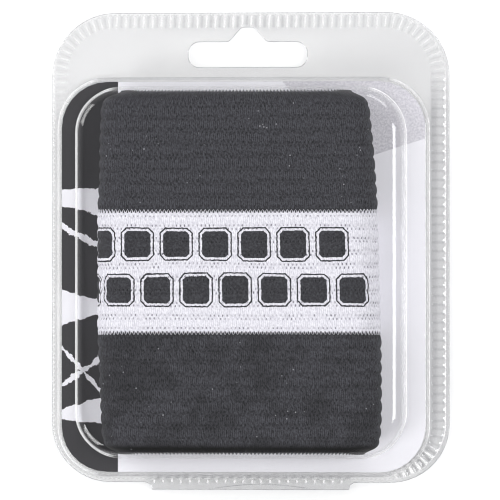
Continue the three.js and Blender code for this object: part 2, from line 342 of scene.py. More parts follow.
# Rings over the crimp from its outer (0) to its inner end (1): how high its teeth stand there, how grey
# the sheets look at the top and left, at the right and at the tab (the right's extra grey is painted shade),
# and how milky they are (a painted highlight, strongest along the teeth's outer ends)
CRIMP_RINGS = (
    (-0.07, 0, 0.02, 0.18, 0.11, 0),
    (0, 0, 0.02, 0, 0.11, 0.3),
    (0.08, 1, 0.02, 0.18, 0.11, 0),
    (0.3, 1, 0.02, 0.12, 0.11, 0),
    (0.46, 1, 0.02, 0.15, 0.11, 0),
    (0.7, 1, 0.02, 0.33, 0.11, 0),
    (0.92, 1, 0.03, 0.38, 0.11, 0),
    (1, 0, 0.04, 0.2, 0.11, 0),
    (1.07, 0, 0, 0, 0.04, 0),
)
# Shares of the crimp's relief at the top and left, at the right and at the tab
CRIMP_SHARES = (0.25, 0.6, 0.5)
CORNER_SHARE = 0.5  # more relief round the lower right corner
TOOTH_SLOPE, TOOTH_GAP = 1.5, 0.1  # of the teeth's flanks, and of the gaps between them
TOOTH_SHADE_LINES = (0.03, 0.16, 0.04)  # painted shade: a greyer line on one flank of each tooth
TOP_SHADE_LINE, TOP_GLINT = 0.26, 0.24  # stronger along the top, with a painted milky glint on the other flank
CORNER_SHADE_LINE, CORNER_GLINT = 0.34, 0.6  # and stronger still round the lower right corner
CORNER_TURN = 57  # degrees from the right side to the corner's most marked teeth
CORNER_REACH = 0.84  # cosine of the turn from there to where the marks end
TOP_FADE = (30, 8)  # below the pack's top
TOP_MIDDLE = 40  # beyond this on both sides the top's marks are half as strong
SLOT_FADE = (30, 45)  # heights between which the flange round the hang slot turns greyer
TAB_FADE_ACROSS, TAB_FADE_UP = (-1, 3), (1.5, 4)  # round the hinge tab
RIGHT_FADE_ACROSS, RIGHT_FADE_UP = (10, 4), (28, 12)  # in from the right side, down from the top
HIGHLIGHT_OFF_RIGHT = 0.35  # share of the crimp's painted milky highlight away from the right side
HIGHLIGHT_RIPPLE = 0.4
FLANGE_GREY = 0.1  # over the plain flange round the hang slot
DASH_SHADE = 0.55  # painted shade: a grey dash at each tooth's end beside the tab
RIGHT_RIM_SHADE = 0.2  # painted shade on the plain rim on the right
EDGE_LINE = 0.22  # width of the greyer line along a cut edge
TAB_GREY = 0.11
DOT_ROW = 0.3  # welding dots on the tab, above the pack's lower edge, painted milky white as highlights
DOT_PITCH = 2.38
DOT_MARGIN = 0.6
DOT_SIZE = (0.24, 0.42)
DOT_RISE = 0.1
DOT_RINGS = ((0, 1.0), (0.55, 0.9), (1.5, 0.0))  # share of the dot's size, and its painted milky highlight
DOT_POINTS = 8
# The other sheet's edge shows on the tab as a flat arc, between two places across it
PRESS_ENDS = (-11.6, 17.2)
PRESS_FOOT, PRESS_RISE, PRESS_BEND = 0.3, 1.15, 1.3
PRESS_POINTS = 40
PRESS_TONES = ((-0.2, TAB_GREY), (0, 0.5), (0.2, TAB_GREY))  # place across the line, and greyness
LOOP_CLEARANCE = 0.14  # no free point lies nearer to a loop


def on_tab(points):
    """1 where the hinge tab is, below the step."""
    near, far = TAB_FADE_ACROSS
    across = 1 - passage(np.abs(points[:, 0]), TAB_WIDTH / 2 + near, TAB_WIDTH / 2 + far)
    near, far = TAB_FADE_UP
    return across * (1 - passage(points[:, 1], PACK_BOTTOM + near, PACK_BOTTOM + far))


def on_right(points):
    """1 along the pack's right side, fading towards its upper corner."""
    far, near = RIGHT_FADE_UP
    upper = 1 - passage(points[:, 1], pack_high[1] - far, pack_high[1] - near)
    far, near = RIGHT_FADE_ACROSS
    across = passage(points[:, 0], pack_high[0] - far, pack_high[0] - near)
    return across * upper * (1 - on_tab(points))


def crimp_points(relief):
    """Plan points of the crimp, with their rise, greyness (partly painted shade) and painted milky highlight.
    """
    outer, inner = (outline.points(0, *TEETH) for outline in crimp_ends)
    phase = np.arange(len(outer)) / POINTS_PER_TOOTH
    wave = np.clip(TOOTH_SLOPE * (0.5 - 0.5 * np.cos(2 * math.pi * phase)) - TOOTH_GAP, 0, 1)
    slope = np.sin(2 * math.pi * phase)
    tab = on_tab(outer)
    right = on_right(outer)
    shares = np.stack([1 - right - tab, right, tab])
    turn = math.radians(CORNER_TURN)
    towards_corner = outward(outer) @ np.array([math.cos(turn), -math.sin(turn)])
    corner = passage(towards_corner, CORNER_REACH, 1)
    top = passage(outer[:, 1], pack_high[1] - TOP_FADE[0], pack_high[1] - TOP_FADE[1])
    top = top * (1 - 0.5 * np.minimum(np.abs(outer[:, 0]) / TOP_MIDDLE, 1))

    def shared(values):
        """The values for the top and left, the right and the tab, each where it belongs."""
        return (shares * np.array(values)[:, None]).sum(0)

    height = relief * wave * (shared(CRIMP_SHARES) + CORNER_SHARE * corner)
    # Painted shade on one flank of each tooth, and a painted milky glint on the other
    line = shared(TOOTH_SHADE_LINES) + TOP_SHADE_LINE * top + CORNER_SHADE_LINE * corner
    line = line * np.clip(slope, 0, 1) ** 2
    glint = TOP_GLINT * top * np.clip(-slope, 0, 1) ** 4
    glint = glint + CORNER_GLINT * corner * np.clip(-slope, 0, 1) ** 2
    # Painted highlight: the crimp's milky white, strongest on the right side
    ripple = (1 - HIGHLIGHT_RIPPLE) + HIGHLIGHT_RIPPLE * np.cos(4 * math.pi * phase)
    crimp_highlight = (HIGHLIGHT_OFF_RIGHT + (1 - HIGHLIGHT_OFF_RIGHT) * right) * ripple
    plan, rise, grey, highlight = [], [], [], []
    for way, stand, *greys, milky_highlight in CRIMP_RINGS:
        plan.append(outer + (inner - outer) * way)
        rise.append(height * stand)
        tone = shared(greys) + line * stand
        tone = tone + FLANGE_GREY * passage(outer[:, 1], *SLOT_FADE) * (1 if way > 1 else 0.5)
        # Painted shade: a grey dash at each tooth's end beside the tab
        if 0 < way < 0.1:
            tone = np.maximum(tone, DASH_SHADE * tab * wave)
        grey.append(tone)
        highlight.append(milky_highlight * crimp_highlight + glint * stand)
    return tuple(np.concatenate(rows) for rows in (plan, rise, grey, highlight))


def tab_marks():
    """Plan points of the welding dots, with their painted milky highlight, and of the pressed arc on the tab,
    as crimp_points gives them.
    """
    rows = []
    reach = TAB_WIDTH / 2 - DOT_MARGIN
    angles = np.arange(DOT_POINTS) * 2 * math.pi / DOT_POINTS
    for x in np.arange(-reach, reach, DOT_PITCH):
        for size, milky_highlight in DOT_RINGS:
            for angle in angles if size else angles[:1]:
                place = (x + size * DOT_SIZE[0] * math.cos(angle),
                         PACK_BOTTOM + DOT_ROW + size * DOT_SIZE[1] * math.sin(angle))
                rows.append((*place, DOT_RISE * milky_highlight, TAB_GREY * (1 - milky_highlight), milky_highlight))
    left, right = PRESS_ENDS
    for x in np.linspace(left, right, PRESS_POINTS):
        share = (x - left) / (right - left)
        y = PACK_BOTTOM - TAB_REACH + PRESS_FOOT + PRESS_RISE * math.sin(math.pi * share) ** PRESS_BEND
        rows += [(x, y + step, 0, tone, 0) for step, tone in PRESS_TONES]
    rows = np.array(rows)
    return rows[:, :2], rows[:, 2], rows[:, 3], rows[:, 4]


def flange(hole, relief):
    """Plan points of the flat flange with its crimp, its triangles, and per point the crimp's rise,
    greyness (partly painted shade) and painted milky highlight, with the chains of points along its edge and
    its slot.

    hole is the closed loop where the moulded step starts, or None for a flat back sheet.
    """
    edge = spaced(pack_loop(pack_edge.points(0, *TEETH)), EDGE_PITCH)
    slot = slot_loop()
    rims = [edge - EDGE_LINE * outward(edge), slot + EDGE_LINE * outward(slot)]
    loops = [edge, slot] + rims + ([hole] if hole is not None else [])
    groups = [crimp_points(relief), tab_marks()]
    points, rise, grey, highlight = (np.concatenate(rows) for rows in zip(*groups))
    fixed = np.concatenate(loops)
    count = len(fixed)
    keep = distance_to(points, fixed) > LOOP_CLEARANCE
    keep &= inside(points, rims[0]) & ~inside(points, rims[1])
    if hole is not None:
        keep &= ~inside(points, hole)
    plan = np.concatenate([fixed, points[keep]])
    rise, grey, highlight = (np.concatenate([np.zeros(count), values[keep], [0]]) for values in (rise, grey, highlight))
    # Painted shade greys the plain rim on the right
    grey[:count] = TAB_GREY * on_tab(fixed) + RIGHT_RIM_SHADE * on_right(fixed)
    if hole is not None:
        grey[count - len(hole):count] = FLANGE_GREY * passage(hole[:, 1], *SLOT_FADE)
    grey[:len(edge) + len(slot)] = 1
    edges, chains, first = [], [], 0
    for loop in loops:
        chain = first + np.arange(len(loop))
        edges += np.stack([chain, np.roll(chain, -1)], 1).tolist()
        chains.append(chain)
        first += len(loop)
    corners = [Vector(point) for point in plan]
    made, _, triangles, origins, _, _ = delaunay_2d_cdt(corners, edges, [], 0, 1e-5)
    made = np.array([tuple(point) for point in made])
    order = np.array([origin[0] if origin else -1 for origin in origins])
    triangles = np.array(triangles)
    middles = made[triangles].mean(1)
    kept = inside(middles, edge) & ~inside(middles, slot)
    if hole is not None:
        kept &= ~inside(middles, hole)
    back = {int(origin): index for index, origin in enumerate(order) if origin >= 0}
    chains = [np.array([back[i] for i in chain]) for chain in chains[:2]]
    return made, triangles[kept], rise[order], grey[order], highlight[order], chains


def two_sided(plan, triangles, rise, top_level, chains):
    """Vertex and face groups of a flange, one sheet thick, closed along its edge and its slot."""
    count = len(plan)
    top = np.column_stack([plan, top_level + rise])
    bottom = np.column_stack([plan, top_level - SHEET + rise])
    faces = [triangles, triangles[:, ::-1] + count]
    for chain, inward in zip(chains, (False, True)):
        after = np.roll(chain, -1)
        quads = np.stack([chain + count, after + count, after, chain], 1)
        faces.append(quads[:, ::-1] if inward else quads)
    return [top, bottom], faces


# The moulded step and bubble of the front shell

FILLET_STEPS = 7
# Bends from the flange up: outline, inset, level, radius, 1 where the wall lies outside it and -1
# inside, start and end of the turn, painted milky highlight along the bend's foot, and painted shade
# (greyness) from start to end
BENDS = (
    (step_foot, -FOOT_FILLET, FLANGE_TOP + FOOT_FILLET, FOOT_FILLET, 1, -90, 0, 0.9, (0, 1, 0.8, 0.1)),
    (step_foot, STEP_DRAFT + STEP_FILLET, SHELF_TOP - STEP_FILLET, STEP_FILLET, -1, 180, 90, 0, (0, 0)),
    (bubble_foot, -FOOT_FILLET, SHELF_TOP + FOOT_FILLET, FOOT_FILLET, 1, -90, 0, 1.3, (0, 0.6, 0.1, 0.3)),
    (bubble_foot, BUBBLE_DRAFT + BUBBLE_FILLET, FACE_TOP - BUBBLE_FILLET, BUBBLE_FILLET, -1, 180, 90,
     0, (0.25, 0, 0, 0)),
)
# Painted light on the bends: along both sides, where the lamps stand, they keep their painted milky highlight
# and the right side loses some painted shade; along the top and bottom they stay grey with painted shade
UPRIGHT_REACH = 0.06
LYING_STEP_GREY, LYING_BUBBLE_GREY = 1.7, 0.9
LYING_HIGHLIGHT = 0.12
SIDE_REACH = 0.6
RIGHT_GREY_CUT = 0.55
RIGHT_HIGHLIGHT_CUT, LEFT_HIGHLIGHT_CUT = 0.45, 0.13


def moulded_profile(wall):
    """Rings of the moulded sheet from its foot to its front face, wall inside its outer face.

    Each ring is (outline, inset, level, highlight, grey): highlight is a painted milky highlight along a
    bend's foot, standing in for the lamps' reflection there, and grey is painted shade for how much longer
    the light's way is through a steep wall.
    """
    rings = []
    for outline, inset, level, radius, side, start, end, highlight, greys in BENDS:
        reach = radius + side * wall
        for share in np.linspace(0, 1, FILLET_STEPS):
            angle = math.radians(start + (end - start) * share)
            grey = np.interp(share, np.linspace(0, 1, len(greys)), greys)
            rings.append((outline, inset + reach * math.cos(angle), level + reach * math.sin(angle),
                          highlight * math.sin(math.pi * share), grey))
    return rings


def clear_front():
    """The front shell: crimped flange, step, shelf and bubble, one sheet thick."""
    outline, inset, *_ = moulded_profile(0)[0]
    hole = outline.points(inset, *MOULD)
    plan, triangles, rise, grey, highlight, chains = flange(hole, CRIMP_RELIEF)
    vertices, faces = two_sided(plan, triangles, rise, FLANGE_TOP, chains)
    greys, highlights = [grey, grey], [highlight, highlight]
    first = 2 * len(plan)
    ring_size = len(hole)
    index = np.arange(ring_size)
    for wall, flip in ((0, False), (SHEET, True)):
        rings = moulded_profile(wall)
        for outline, inset, level, ring_highlight, ring_grey in rings:
            points = outline.points(inset, *MOULD)
            vertices.append(np.column_stack([points, np.full(ring_size, level)]))
            normals = outward(points)
            upright = passage(1 - np.abs(normals[:, 1]), 0.0, UPRIGHT_REACH)
            right = passage(normals[:, 0], 0.0, SIDE_REACH)
            left = passage(-normals[:, 0], 0.0, SIDE_REACH)
            lying = LYING_STEP_GREY if outline is step_foot else LYING_BUBBLE_GREY
            # Painted shade and painted highlight, set by which way each stretch of the bend faces
            tone = ring_grey * (lying + (1 - lying) * upright) * (1 - RIGHT_GREY_CUT * right)
            greys.append(np.minimum(tone, 1))
            side_highlight = 1 - RIGHT_HIGHLIGHT_CUT * right - LEFT_HIGHLIGHT_CUT * left
            highlights.append(ring_highlight * (LYING_HIGHLIGHT + (1 - LYING_HIGHLIGHT) * upright) * side_highlight)
        faces.append(ring_faces(len(rings), ring_size, first, flip))
        last = first + (len(rings) - 1) * ring_size
        vertices.append(vertices[-1].mean(0)[None])
        greys.append([0])
        highlights.append([0])
        hub = last + ring_size
        fan = np.stack([last + index, last + (index + 1) % ring_size, np.full(ring_size, hub)], 1)
        faces.append(fan[:, ::-1] if flip else fan)
        first = hub + 1
    return assemble("clear_front_shell", vertices, faces, greys, highlights)


def clear_back():
    """The flat back sheet, with the same crimp, slot and tab."""
    plan, triangles, rise, grey, highlight, chains = flange(None, CRIMP_RELIEF * BACK_RELIEF_SHARE)
    vertices, faces = two_sided(plan, triangles, rise, SHEET, chains)
    return assemble("clear_back_shell", vertices, faces, [grey, grey], [highlight, highlight])


def assemble(name, vertices, faces, greys, highlights):
    """One welded object from groups of vertices and faces."""
    vertices = np.concatenate(vertices)
    attributes = {"grey": np.concatenate(greys), "highlight": np.concatenate(highlights)}
    _, kept, merged = np.unique(np.round(vertices, 4), axis=0, return_index=True, return_inverse=True)
    merged = merged.ravel()
    joined = []
    for group in faces:
        for face in merged[group]:
            corners = list(dict.fromkeys(face.tolist()))
            if len(corners) > 2:
                joined.append(corners)
    attributes = {key: value[kept] for key, value in attributes.items()}
    return make_object(name, vertices[kept], joined, attributes)


# The knitted loop

POINTS_PER_COLUMN = 4
ROWS_PER_RIB = 12
INNER_ROWS = 12
EDGE_SINK = 0.12
EDGE_ROUNDING = ((LOOP_WALL, 0.2), (1.25, 0.04), (0.85, -0.02))  # depth in the wall, and rise
WOBBLE, WOBBLE_ROUND, WOBBLE_UP = 0.06, 3, 1.7  # how far the ribs wander, and how often
columns = np.arange(COLUMNS * POINTS_PER_COLUMN) / POINTS_PER_COLUMN


def loop_points(heights, depths):
    """Points round the flattened loop, one for each column position, depths inside the rib tops.

    Columns are counted from the middle of the back face, up the left fold, across the front face
    and down the right fold.
    """
    up = np.clip((heights - LOOP_BOTTOM) / (LOOP_TOP - LOOP_BOTTOM), 0, 1)

    def section(column):
        """One column of the loop's sections at these heights, a little blurred."""
        rows = [np.interp(up + step, LOOP_SECTIONS[:, 0], LOOP_SECTIONS[:, column]) for step in SECTION_BLUR]
        return sum(rows) / len(rows)

    left, right, dip = section(1), section(2), section(3)
    fold = (LOOP_DEPTH * (1 - dip) - 2 * depths) / 2
    level = LOOP_LEVEL + depths + fold
    left_fold = LOOP_MIDDLE_X - LOOP_WIDTH * (0.5 - left) + depths + fold
    right_fold = LOOP_MIDDLE_X + LOOP_WIDTH * (0.5 - right) - depths - fold
    middle = (left_fold + right_fold) / 2
    half = FACE_COLUMNS / 2
    ends = np.cumsum([half, FOLD_COLUMNS, FACE_COLUMNS, FOLD_COLUMNS])
    turn = np.pi * (columns - ends[0]) / FOLD_COLUMNS
    left_x, left_z = left_fold - fold * np.sin(turn), level - fold * np.cos(turn)
    turn = np.pi * (columns - ends[2]) / FOLD_COLUMNS
    right_x, right_z = right_fold + fold * np.sin(turn), level + fold * np.cos(turn)
    across = (columns - ends[1]) / FACE_COLUMNS
    places = [columns < end for end in ends]
    x = np.select(places, [
        middle + (left_fold - middle) * columns / half,
        left_x,
        left_fold + (right_fold - left_fold) * across,
        right_x,
    ], right_fold + (middle - right_fold) * (columns - ends[3]) / half)
    z = np.select(places, [level - fold, left_z, level + fold, right_z], level - fold)
    return np.stack([x, heights, z], 1)


def nearest(values):
    """Distance to the nearest whole number."""
    return np.abs(values - np.round(values))


def knit_depth(rib):
    """Depth of the knitted face inside the rib tops, at one height in ribs, for every column."""
    crown = abs(math.sin(math.pi * rib)) ** CROWN_ROUNDING
    face = FACE_COLUMNS / 2 - np.abs(columns - FRONT_MIDDLE)
    relief = FACE_RELIEF + (RIB_RELIEF - FACE_RELIEF) * (1 - passage(face, *RELIEF_FADE))
    depth = relief * (1 - crown)
    high, wide = PIT_SIZE
    for offset, phase in ((PAIR_OFFSET, 0.5), (-PAIR_OFFSET, 0.0)):
        row = nearest(np.array(rib - offset)) / high
        depth = depth + PIT_DEPTH * np.exp(-row ** 2 - (nearest(columns - phase) / wide) ** 2)
    return depth + YARN_RELIEF * crown * (0.5 + 0.5 * np.cos(4 * math.pi * columns))


def knitted_band(name, node, lip, lower_tooth, upper_tooth, seed):
    """One band of the loop, as high as its node, with lip of a rib beyond its first and last groove."""
    low, high = box_mm(node)
    bottom, top = low[1], high[1]
    ribs_high = RIBS + 2 * lip
    rows = round(ribs_high * ROWS_PER_RIB)
    wander = WOBBLE * (top - bottom) / ribs_high
    rings, ribs = [], []

    def add(share, depth, rise=0.0):
        low = max(0.0, 1 - share * ribs_high / TOOTH_REACH)
        high = max(0.0, 1 - (1 - share) * ribs_high / TOOTH_REACH)
        teeth = (4 * nearest(columns) - 1) * (lower_tooth * low + upper_tooth * high)
        turns = columns / COLUMNS * WOBBLE_ROUND + share * WOBBLE_UP + seed
        wobble = wander * np.sin(2 * math.pi * turns) * math.sin(math.pi * share)
        height = bottom + (top - bottom) * share + rise
        rings.append(loop_points(height + teeth + wobble, depth))
        ribs.append(share * ribs_high - lip)

    for depth, rise in EDGE_ROUNDING:
        add(0, depth, rise)
    for row in range(rows + 1):
        share = row / rows
        add(share, knit_depth(share * ribs_high - lip) + (EDGE_SINK if row in (0, rows) else 0))
    for depth, rise in reversed(EDGE_ROUNDING):
        add(1, depth, -rise)
    for row in range(1, INNER_ROWS):
        add(1 - row / INNER_ROWS, LOOP_WALL)
    count = len(columns)
    index = np.arange(count)
    after = (index + 1) % count
    column_after = (index + 1) / POINTS_PER_COLUMN
    faces, uvs = [], []
    for row in range(len(rings)):
        next_row = (row + 1) % len(rings)
        below, above = row * count, next_row * count
        low, high = np.full(count, ribs[row]), np.full(count, ribs[next_row])
        faces.append(np.stack([below + index, above + index, above + after, below + after], 1))
        uvs.append(np.stack([columns, low, columns, high, column_after, high, column_after, low], 1))
    return make_object(name, np.concatenate(rings), np.concatenate(faces), uvs=np.concatenate(uvs))


# Materials

class Paint:
    """Builds one material's nodes. Each method adds a node and returns what it gives out."""

    def __init__(self, name):
        self.material = bpy.data.materials.new(name)
        self.material.use_nodes = True
        self.tree = self.material.node_tree
        self.tree.nodes.clear()
        self.out = self.tree.nodes.new("ShaderNodeOutputMaterial")

    def node(self, kind, inputs, output=0, **settings):
        made = self.tree.nodes.new(kind)
        for key, value in settings.items():
            setattr(made, key, value)
        for key, value in inputs.items():
            if isinstance(value, bpy.types.NodeSocket):
                self.tree.links.new(value, made.inputs[key])
            else:
                made.inputs[key].default_value = value
        return made.outputs[output]

    def math(self, operation, *values, clamp=False):
        return self.node("ShaderNodeMath", dict(enumerate(values)), operation=operation, use_clamp=clamp)

    def plus(self, first, second):
        return self.math("ADD", first, second)

    def minus(self, first, second, clamp=False):
        return self.math("SUBTRACT", first, second, clamp=clamp)

    def times(self, first, second):
        return self.math("MULTIPLY", first, second)

    def smooth(self, value, low, high, start=0.0, end=1.0):
        """Start below low, end above high, and a smooth passage between them."""
        inputs = {0: value, 1: low, 2: high, 3: start, 4: end}
        return self.node("ShaderNodeMapRange", inputs, interpolation_type="SMOOTHSTEP")

    def noise(self, vector, scale, detail=2.0, roughness=0.5):
        inputs = {"Vector": vector, "Scale": scale, "Detail": detail, "Roughness": roughness}
        return self.node("ShaderNodeTexNoise", inputs)

    def swing(self, vector, scale, width):
        """Plain noise about 0, over a width."""
        return self.times(self.minus(self.noise(vector, scale), 0.5), width)

    def mix(self, share, first, second):
        inputs = {0: share, 6: first, 7: second}
        return self.node("ShaderNodeMix", inputs, output=2, data_type="RGBA")

    def nearest(self, value):
        """Distance to the nearest whole number."""
        return self.math("ABSOLUTE", self.minus(value, self.math("ROUND", value)))

    def spot(self, down, across, size, fade):
        """A soft round spot from two distances, with its height and width and where it thins out."""
        down = self.math("POWER", self.math("DIVIDE", down, size[0]), 2.0)
        across = self.math("POWER", self.math("DIVIDE", across, size[1]), 2.0)
        return self.smooth(self.plus(down, across), *fade, 1.0, 0.0)

    def union(self, masks):
        """The highest of several masks."""
        whole = masks[0]
        for mask in masks[1:]:
            whole = self.math("MAXIMUM", whole, mask)
        return whole

    def place(self):
        return self.node("ShaderNodeTexCoord", {}, output=3)

    def split(self, vector):
        """The three parts of a vector."""
        made = self.tree.nodes.new("ShaderNodeSeparateXYZ")
        self.tree.links.new(vector, made.inputs[0])
        return made.outputs

    def plan(self, place):
        """Across and up the pack, in millimetres."""
        across, up, _ = self.split(place)
        return self.math("DIVIDE", across, MM), self.math("DIVIDE", up, MM)

    def finish(self, shader):
        self.tree.links.new(shader, self.out.inputs["Surface"])
        return self.material


def rgb(red, green, blue):
    """A colour for nodes from screen values of 0 to 255."""
    shares = [value / 255 for value in (red, green, blue)]
    return tuple(s / 12.92 if s <= 0.04045 else ((s + 0.055) / 1.055) ** 2.4 for s in shares) + (1.0,)


# Colours: a yarn's light and dark, and the painted shade in its stitch holes; the ink on the knit and the
# painted shade in its holes; and the card's print
BLACK_YARN = (rgb(72, 72, 78), rgb(20, 20, 23), rgb(8, 8, 10))
WHITE_YARN = (rgb(236, 235, 241), rgb(196, 194, 204), rgb(120, 118, 128))
INK = (rgb(40, 40, 44), rgb(66, 66, 71))
INK_HOLE = rgb(20, 20, 23)
BORDER_YARN = rgb(46, 46, 52)
LINT = rgb(190, 190, 196)
BOARD = (rgb(242, 241, 247), rgb(249, 248, 253))
WEDGE = (rgb(203, 201, 209), rgb(228, 226, 232))
CHARCOAL = rgb(57, 56, 59)
BLACK, WHITE = (0.0, 0.0, 0.0, 1.0), (1.0, 1.0, 1.0, 1.0)

# The printed blocks, in millimetres
BLOCK_HALF = 3.5
BLOCK_CHAMFER = 1.24  # of the half size, along the slope
BLOCK_GAP, BLOCK_LINE = 0.6, 0.38  # white gap round a block, and the outline's width
BLOCK_PITCH, BLOCK_ROW_PITCH = 10.4, 12.0
BLOCK_ROWS_MIDDLE = 1.3
BLOCK_ROW_END = 35.2
BLOCK_RAGGED = 0.35
BLOCKS_DRAWN = (-9.5, 0.5)  # block numbers, counted from the right
COLUMN_WIDTH = 1.1


def block_print(paint, place, column, rib, ribs_high):
    """Mask of the printed blocks: two staggered rows of chamfered squares, each with a thin outline."""
    rib_height = (centre_high[1] - centre_low[1]) / ribs_high
    x = paint.times(paint.minus(column, float(FRONT_MIDDLE)), COLUMN_WIDTH)
    y = paint.minus(paint.times(paint.minus(rib, RIBS / 2), rib_height), BLOCK_ROWS_MIDDLE)
    stagger = paint.times(paint.math("GREATER_THAN", y, 0.0), BLOCK_PITCH / 2)
    start = BLOCK_ROW_END - BLOCK_HALF - BLOCK_GAP - BLOCK_LINE
    steps = paint.math("DIVIDE", paint.plus(paint.minus(x, start), stagger), BLOCK_PITCH)
    local_x = paint.times(paint.nearest(steps), BLOCK_PITCH)
    local_y = paint.math("ABSOLUTE", paint.minus(paint.math("ABSOLUTE", y), BLOCK_ROW_PITCH / 2))
    flat = paint.minus(paint.math("MAXIMUM", local_x, local_y), BLOCK_HALF)
    sloped = paint.times(paint.plus(local_x, local_y), math.sqrt(0.5))
    away = paint.math("MAXIMUM", flat, paint.minus(sloped, BLOCK_HALF * BLOCK_CHAMFER))
    ragged = paint.minus(paint.noise(place, 1400.0, 1.0), 0.5)
    away = paint.plus(away, paint.times(ragged, BLOCK_RAGGED))
    core = paint.smooth(away, -0.08, 0.08, 1.0, 0.0)
    line_away = paint.math("ABSOLUTE", paint.minus(away, BLOCK_GAP + BLOCK_LINE / 2))
    outline = paint.smooth(line_away, BLOCK_LINE / 2 - 0.06, BLOCK_LINE / 2 + 0.06, 1.0, 0.0)
    # The rows end short of the right fold, and run round the left one onto the back face.
    first, last = BLOCKS_DRAWN
    drawn = paint.times(paint.math("LESS_THAN", steps, last), paint.math("GREATER_THAN", steps, first))
    return paint.times(paint.union([core, outline]), drawn)


# Stitch holes and the other colour's yarn at a border: height of a rib, width of a column, and fade
HOLE_SPOT = ((0.105, 0.17), (0.25, 1.35))
BORDER_SPOT = ((0.1, 0.2), (0.4, 1.4))
BORDER_STRENGTH = 0.9
WEAKEST_HOLE = 0.15
COLUMN_DRIFT, RIB_DRIFT = 0.45, 0.08
CROWN_FLATNESS = 0.7
# The first of these is a painted highlight on the rib crowns; the others are the stitch lines, stitches and
# yarn
CROWN_HIGHLIGHT, LINE_TONE, STITCH_TONE, YARN_TONE = 0.03, 0.1, 0.75, 0.6


def elastic(name, yarn_colours, hole_share=1.0, lint=0.0, ink=None, ribs_high=None):
    """Ribbed knit: stitch holes, darkened with painted shade, in staggered pairs of rows along each groove,
    and slanting stitches between, with a faint painted highlight on the rib crowns. With ink it carries the
    print and its borders' yarn, and else the selvage's painted shade."""
    light, dark, hole = yarn_colours
    paint = Paint(name)
    column, rib, _ = paint.split(paint.node("ShaderNodeUVMap", {}, uv_map="knit"))
    place = paint.place()
    wavy_column = paint.plus(column, paint.swing(place, 700.0, COLUMN_DRIFT))
    wavy_rib = paint.plus(rib, paint.swing(place, 160.0, RIB_DRIFT))
    holes, borders = [], []
    for offset, phase, last in ((PAIR_OFFSET, 0.5, float(RIBS)), (-PAIR_OFFSET, 0.0, 0.0)):
        down = paint.nearest(paint.minus(wavy_rib, offset))
        across = paint.nearest(paint.minus(wavy_column, phase))
        holes.append(paint.spot(down, across, *HOLE_SPOT))
        # The rows that the other colour's yarn passes through, right at the band's borders
        at_border = paint.math("ABSOLUTE", paint.minus(rib, last + offset))
        beside = paint.nearest(paint.minus(column, phase))
        borders.append(paint.spot(at_border, beside, *BORDER_SPOT))
    strength = paint.smooth(paint.noise(place, 330.0), 0.35, 0.65, WEAKEST_HOLE * hole_share, hole_share)
    holes = paint.times(paint.union(holes), strength)
    crown = paint.math("ABSOLUTE", paint.math("SINE", paint.times(rib, math.pi)))
    crown = paint.math("POWER", crown, CROWN_FLATNESS)
    lines = paint.math("COSINE", paint.times(wavy_column, 4 * math.pi))
    lines = paint.times(paint.times(lines, crown), LINE_TONE)
    slanted = paint.node("ShaderNodeCombineXYZ", {
        0: paint.math("MULTIPLY_ADD", rib, 1.6, paint.times(column, 2.2)),
        1: paint.times(rib, 3.4),
    })
    stitches = paint.noise(slanted, 1.0, 2.0, 0.6)
    yarn = paint.noise(place, 1900.0, 3.0, 0.65)
    tone = paint.math("MULTIPLY_ADD", stitches, STITCH_TONE, paint.times(yarn, YARN_TONE))
    # Painted highlight: the rib crowns are made a little lighter
    tone = paint.plus(paint.plus(lines, tone), paint.times(crown, CROWN_HIGHLIGHT))
    colour = paint.mix(paint.smooth(tone, 0.4, 0.95), dark, light)
    height = paint.minus(paint.times(tone, 0.5), holes)
    if ink:
        mask = block_print(paint, place, column, rib, ribs_high)
        colour = paint.mix(mask, colour, paint.mix(paint.smooth(yarn, 0.35, 0.7), *ink))
        hole = paint.mix(mask, hole, INK_HOLE)
    # Painted shade: the stitch holes take a dark colour for the shade inside them
    colour = paint.mix(holes, colour, hole)
    if ink:
        colour = paint.mix(paint.times(paint.union(borders), BORDER_STRENGTH), colour, BORDER_YARN)
    else:
        colour = selvage_shade(paint, place, colour)
    if lint:
        cells = paint.node("ShaderNodeTexVoronoi", {"Vector": place, "Scale": 520.0})
        pick = paint.smooth(paint.noise(place, 130.0, 1.0), 0.52, 0.62)
        specks = paint.times(paint.smooth(cells, 0.06, 0.13, lint, 0.0), pick)
        colour = paint.mix(specks, colour, LINT)
    bump = paint.node("ShaderNodeBump", {"Height": height, "Distance": 0.00012, "Strength": 0.7})
    shader = paint.node("ShaderNodeBsdfPrincipled", {
        "Base Color": colour, "Roughness": 0.9, "Normal": bump, "Sheen Weight": 0.08, "Sheen Roughness": 0.5,
        "Specular IOR Level": 0.2,
    })
    return paint.finish(shader)


LOWER_SHADE = (-34.0, 14.0)  # heights between which the patchy shade thins out
PATCH_DEPTH, PATCH_START = 0.42, -0.02
BOTTOM_CURL_SHADE, TOP_CURL_SHADE = 0.95, 0.3
CURL_SHADE_START, CURL_SHADE_END = (0.2, 0.6), (1.2, 3.2)  # where the painted shade line by the selvage, where it curls under, starts and ends


